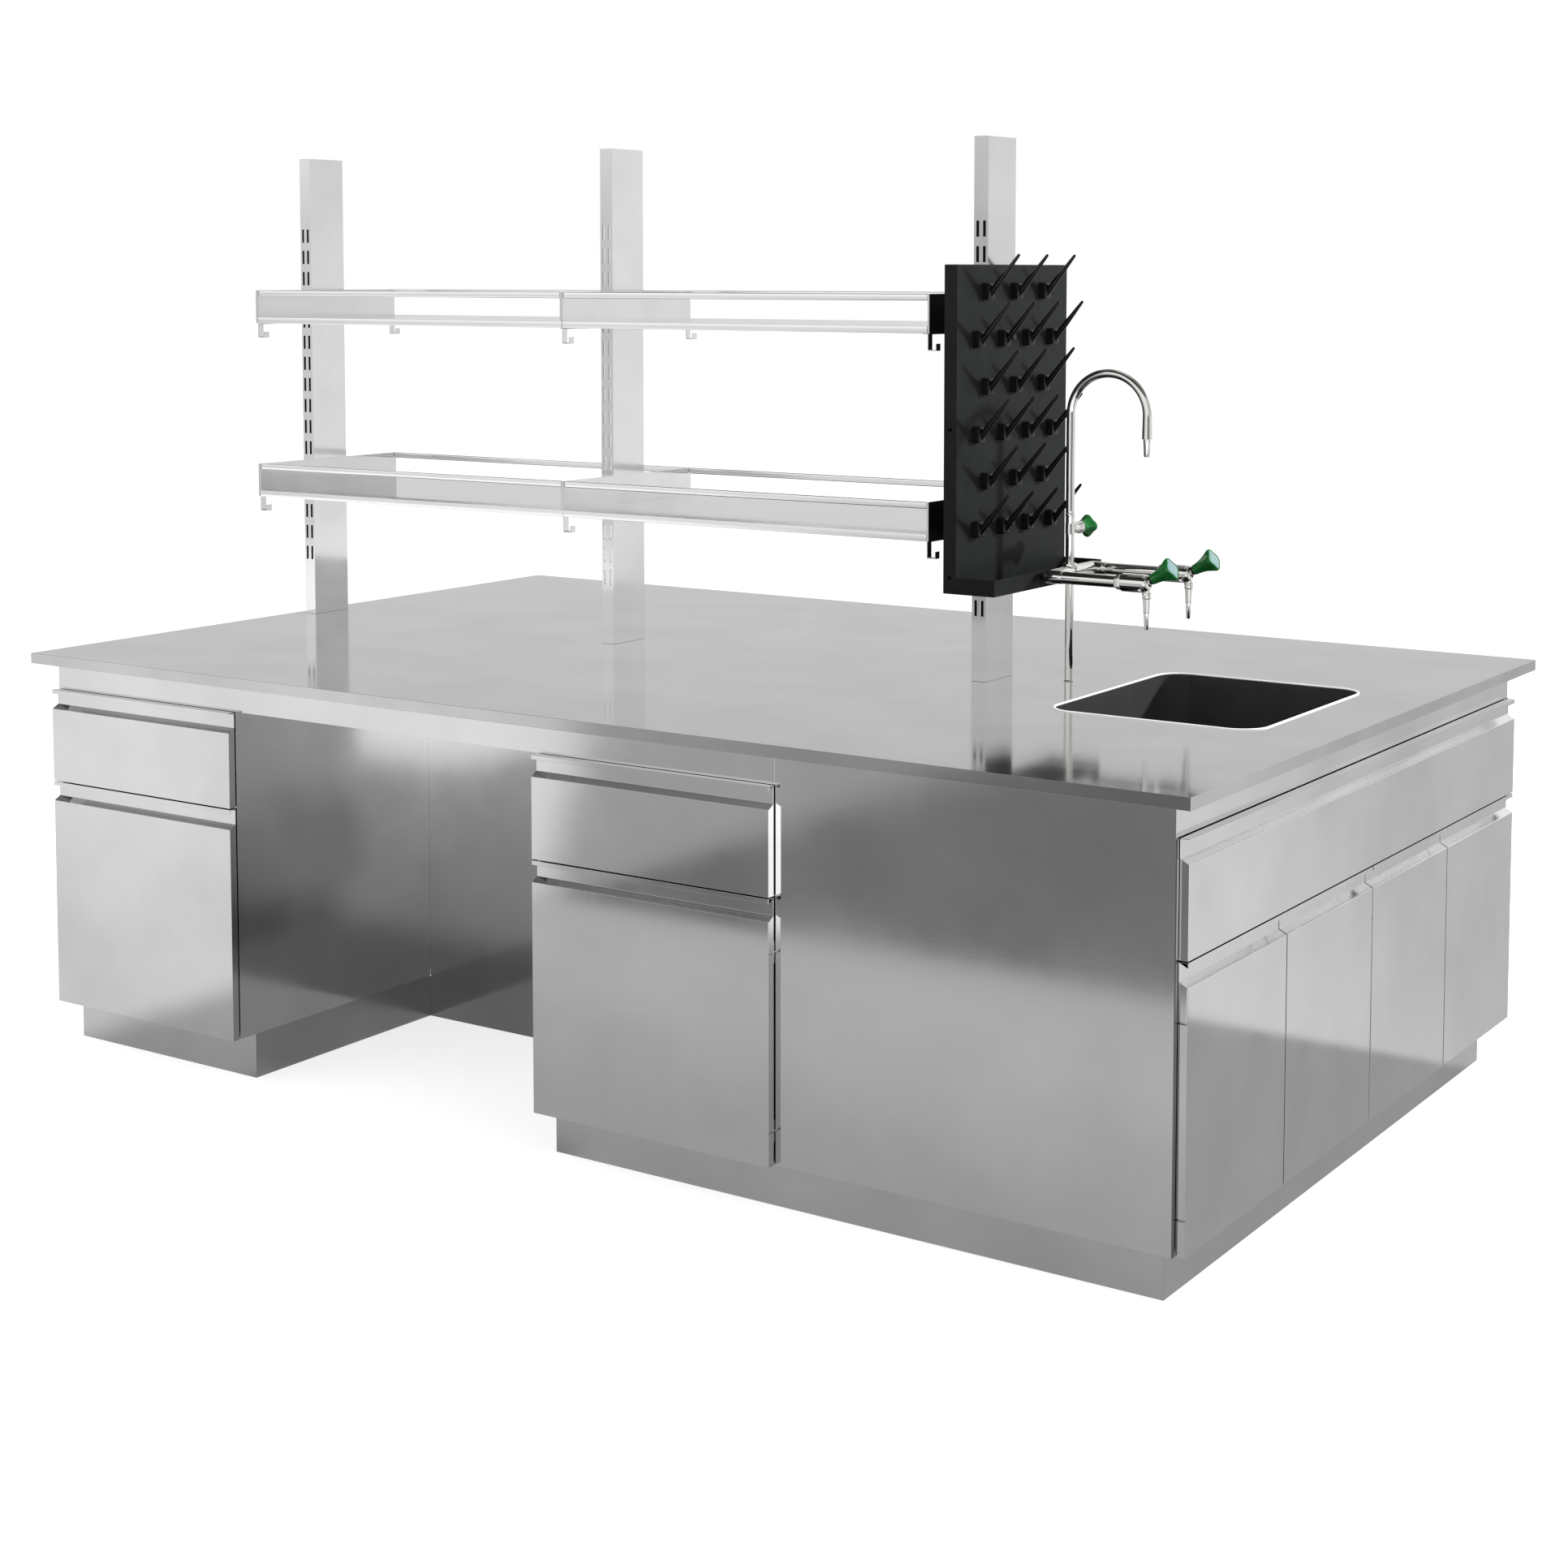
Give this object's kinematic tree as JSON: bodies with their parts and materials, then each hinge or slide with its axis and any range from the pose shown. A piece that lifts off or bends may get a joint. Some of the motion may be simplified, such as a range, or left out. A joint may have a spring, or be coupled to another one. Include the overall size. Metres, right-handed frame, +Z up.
{
  "type": "lab_bench",
  "caption": "Double-sided stainless steel laboratory bench with drawer cabinets and knee spaces, an end sink, a two-level reagent shelf on slotted columns, a peg drying rack and a three-way tap.",
  "frame": {"origin": "on the floor under the middle of the worktop", "axes": "+X along the bench to the sink end, -Y to the pictured side, +Z up"},
  "size_m": [2.7, 1.7, 1.927],
  "materials": {
    "steel": "satin",
    "worktop_steel": "satin",
    "dark_steel": "satin",
    "chrome": "polished",
    "black_plastic": "gloss",
    "black_bowl": "matte",
    "green_plastic": "gloss",
    "copper": "satin",
    "board": "matte"
  },
  "bodies": {
    "bench": {"worktop_skin": "worktop_steel", "worktop_core": "board", "sink_bowl": "black_bowl", "sink_waste": "chrome", "sink_trap": "black_plastic", "column_left": "steel", "column_middle": "steel", "column_right": "steel", "column_caps": "dark_steel", "column_feet": "dark_steel", "shelf_lower_left": "steel", "shelf_lower_right": "steel", "shelf_upper_left": "steel", "shelf_upper_right": "steel", "shelf_brackets_lower": "steel", "shelf_brackets_upper": "steel", "guard_rails_lower": "chrome", "guard_rails_upper": "chrome", "pegboard": "black_bowl", "drying_pegs": "black_plastic", "fixing_screws": "dark_steel", "tap_pole": "chrome", "tap_manifold": "chrome", "tap_valves": "chrome", "tap_nozzles": "chrome", "supply_pipe": "copper", "carcass_front_left": "steel", "carcass_front_right": "steel", "carcass_rear_left": "steel", "carcass_rear_right": "steel", "sink_unit": "steel", "sink_fascia": "steel", "cabinet_shelves": "steel", "hinge_brackets": "dark_steel", "drawer_runners": "dark_steel", "plinth": "steel", "service_panels": "steel", "aprons": "steel", "levelling_feet": "dark_steel"},
    "drawer_front_left": {"drawer_front_front_left": "steel", "drawer_box_front_left": "steel"},
    "cupboard_door_front_left": {"door_front_left": "steel"},
    "drawer_front_right": {"drawer_front_front_right": "steel", "drawer_box_front_right": "steel"},
    "cupboard_door_front_right": {"door_front_right": "steel"},
    "drawer_rear_left": {"drawer_front_rear_left": "steel", "drawer_box_rear_left": "steel"},
    "cupboard_door_rear_left": {"door_rear_left": "steel"},
    "drawer_rear_right": {"drawer_front_rear_right": "steel", "drawer_box_rear_right": "steel"},
    "cupboard_door_rear_right": {"door_rear_right": "steel"},
    "cupboard_sink_door_1": {"sink_door_1": "steel"},
    "cupboard_sink_door_2": {"sink_door_2": "steel"},
    "cupboard_sink_door_3": {"sink_door_3": "steel"},
    "cupboard_sink_door_4": {"sink_door_4": "steel"},
    "swan": {"swan_neck": "chrome", "swan_neck_nozzle": "chrome"},
    "handle_front": {"tap_handle_front": "green_plastic"},
    "handle_rear": {"tap_handle_rear": "green_plastic"},
    "handle_neck": {"tap_handle_neck": "green_plastic"}
  },
  "joints": [
    {"name": "slide_drawer_front_left", "type": "slide", "parent": "bench", "child": "drawer_front_left", "axis": [0, -1, 0], "range_m": [0, 0.4]},
    {"name": "hinge_door_front_left", "type": "hinge", "parent": "bench", "child": "cupboard_door_front_left", "pos_m": [-1.309, -0.8225, 0.3325], "axis": [0, 0, -1], "range_deg": [0, 100]},
    {"name": "slide_drawer_front_right", "type": "slide", "parent": "bench", "child": "drawer_front_right", "axis": [0, -1, 0], "range_m": [0, 0.4]},
    {"name": "hinge_door_front_right", "type": "hinge", "parent": "bench", "child": "cupboard_door_front_right", "pos_m": [0.538, -0.8225, 0.3325], "axis": [0, 0, 1], "range_deg": [0, 100]},
    {"name": "slide_drawer_rear_left", "type": "slide", "parent": "bench", "child": "drawer_rear_left", "axis": [0, 1, 0], "range_m": [0, 0.4]},
    {"name": "hinge_door_rear_left", "type": "hinge", "parent": "bench", "child": "cupboard_door_rear_left", "pos_m": [-1.309, 0.8225, 0.3325], "axis": [0, 0, 1], "range_deg": [0, 100]},
    {"name": "slide_drawer_rear_right", "type": "slide", "parent": "bench", "child": "drawer_rear_right", "axis": [0, 1, 0], "range_m": [0, 0.4]},
    {"name": "hinge_door_rear_right", "type": "hinge", "parent": "bench", "child": "cupboard_door_rear_right", "pos_m": [0.538, 0.8225, 0.3325], "axis": [0, 0, -1], "range_deg": [0, 100]},
    {"name": "hinge_sink_door_1", "type": "hinge", "parent": "bench", "child": "cupboard_sink_door_1", "pos_m": [1.3205, -0.794, 0.3325], "axis": [0, 0, -1], "range_deg": [0, 100]},
    {"name": "hinge_sink_door_2", "type": "hinge", "parent": "bench", "child": "cupboard_sink_door_2", "pos_m": [1.3205, -0.0055, 0.3325], "axis": [0, 0, 1], "range_deg": [0, 90]},
    {"name": "hinge_sink_door_3", "type": "hinge", "parent": "bench", "child": "cupboard_sink_door_3", "pos_m": [1.3205, 0.0055, 0.3325], "axis": [0, 0, -1], "range_deg": [0, 90]},
    {"name": "hinge_sink_door_4", "type": "hinge", "parent": "bench", "child": "cupboard_sink_door_4", "pos_m": [1.3205, 0.794, 0.3325], "axis": [0, 0, 1], "range_deg": [0, 100]},
    {"name": "swivel_swan_neck", "type": "hinge", "parent": "bench", "child": "swan", "pos_m": [0.664, 0.057, 1.185], "axis": [0, 0, 1], "range_deg": [-85, 85]},
    {"name": "turn_handle_front", "type": "hinge", "parent": "bench", "child": "handle_front", "pos_m": [0.874, -0.037, 1.068], "axis": [0.866, 0, 0.5], "range_deg": [0, 90]},
    {"name": "turn_handle_rear", "type": "hinge", "parent": "bench", "child": "handle_rear", "pos_m": [0.874, 0.151, 1.068], "axis": [0.866, 0, 0.5], "range_deg": [0, 90]},
    {"name": "turn_handle_neck", "type": "hinge", "parent": "bench", "child": "handle_neck", "pos_m": [0.664, 0.1, 1.154], "axis": [0, 1, 0], "range_deg": [0, 90]}
  ]
}
